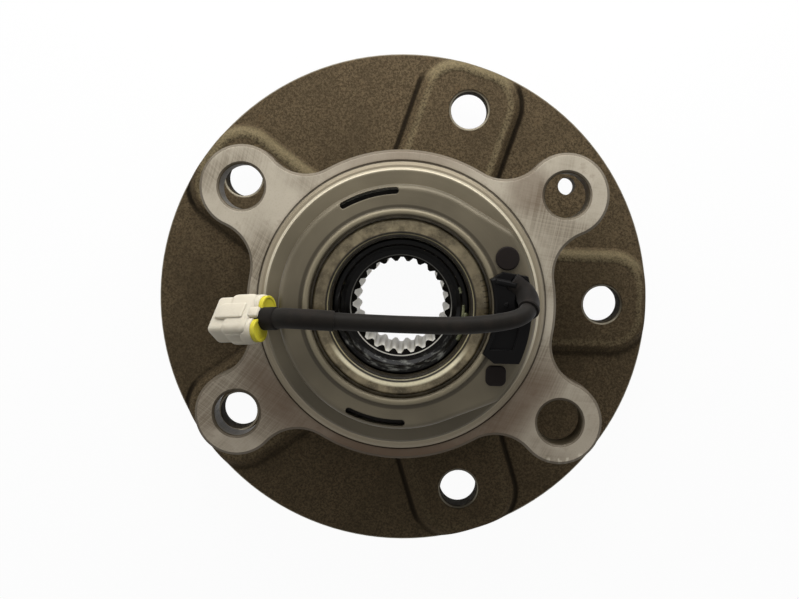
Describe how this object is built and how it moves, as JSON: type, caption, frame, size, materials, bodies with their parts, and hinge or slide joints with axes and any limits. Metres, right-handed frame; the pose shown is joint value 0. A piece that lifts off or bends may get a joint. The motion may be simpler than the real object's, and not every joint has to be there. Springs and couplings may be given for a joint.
{
  "type": "wheel hub bearing",
  "caption": "Driven wheel hub bearing unit with a bolted wheel flange, a knuckle flange with ears, a splined bore, a speed sensor cap and a short sensor lead.",
  "frame": {"origin": "centre of the wheel mounting face, on the spin axis", "axes": "+Z inboard along the spin axis, towards the knuckle; +X and +Y along the sides of the knuckle bolt rectangle, with the sensor near +X"},
  "size_m": [0.14, 0.14, 0.0786],
  "materials": {
    "forged_steel": "forged and oiled, dark olive brown",
    "machined_steel": "turned and milled, oiled",
    "bearing_steel": "ground, oiled",
    "ball_steel": "polished",
    "stamped_steel": "stamped",
    "cap_steel": "stamped, satin olive grey",
    "magnet_rubber": "bonded magnet",
    "seal_rubber": "black nitrile",
    "sensor_plastic": "moulded, black",
    "plug_plastic": "moulded, brown black",
    "cable_rubber": "black sheath",
    "sleeve_plastic": "brown grey sleeve",
    "yellow_silicone": "yellow silicone",
    "white_plastic": "moulded, natural white",
    "terminal_brass": "tinned blade",
    "cage_plastic": "glass filled polyamide"
  },
  "bodies": {
    "housing": {"outer_ring": "machined_steel", "outboard_seal_case": "stamped_steel", "outboard_seal_lip": "seal_rubber", "inboard_seal_case": "stamped_steel", "inboard_seal_lip": "seal_rubber", "sensor_cap": "cap_steel", "sensor_body": "sensor_plastic", "sensor_element": "sensor_plastic", "sensor_plugs": "plug_plastic", "sensor_boot": "cable_rubber", "cable": "cable_rubber", "cable_sleeve": "sleeve_plastic", "connector_boot": "cable_rubber", "connector_seal": "yellow_silicone", "connector_housing": "white_plastic", "connector_retainer": "white_plastic", "connector_terminals": "terminal_brass"},
    "hub": {"wheel_hub": "forged_steel", "inner_ring": "bearing_steel", "encoder_carrier": "stamped_steel", "encoder_ring": "magnet_rubber"},
    "outboard_row": {"outboard_cage": "cage_plastic", "outboard_balls": "ball_steel"},
    "inboard_row": {"inboard_cage": "cage_plastic", "inboard_balls": "ball_steel"}
  },
  "joints": [
    {"name": "hub_spin", "type": "hinge", "parent": "housing", "child": "hub", "pos_m": [0, 0, 0.0273], "axis": [0, 0, 1], "continuous": true},
    {"name": "outboard_row_spin", "type": "hinge", "parent": "housing", "child": "outboard_row", "pos_m": [0, 0, 0.0206], "axis": [0, 0, 1], "continuous": true},
    {"name": "inboard_row_spin", "type": "hinge", "parent": "housing", "child": "inboard_row", "pos_m": [0, 0, 0.034], "axis": [0, 0, 1], "continuous": true}
  ],
  "couplings": [
    {"joint": "outboard_row_spin", "follows": "hub_spin", "ratio": 0.41},
    {"joint": "inboard_row_spin", "follows": "hub_spin", "ratio": 0.41}
  ]
}
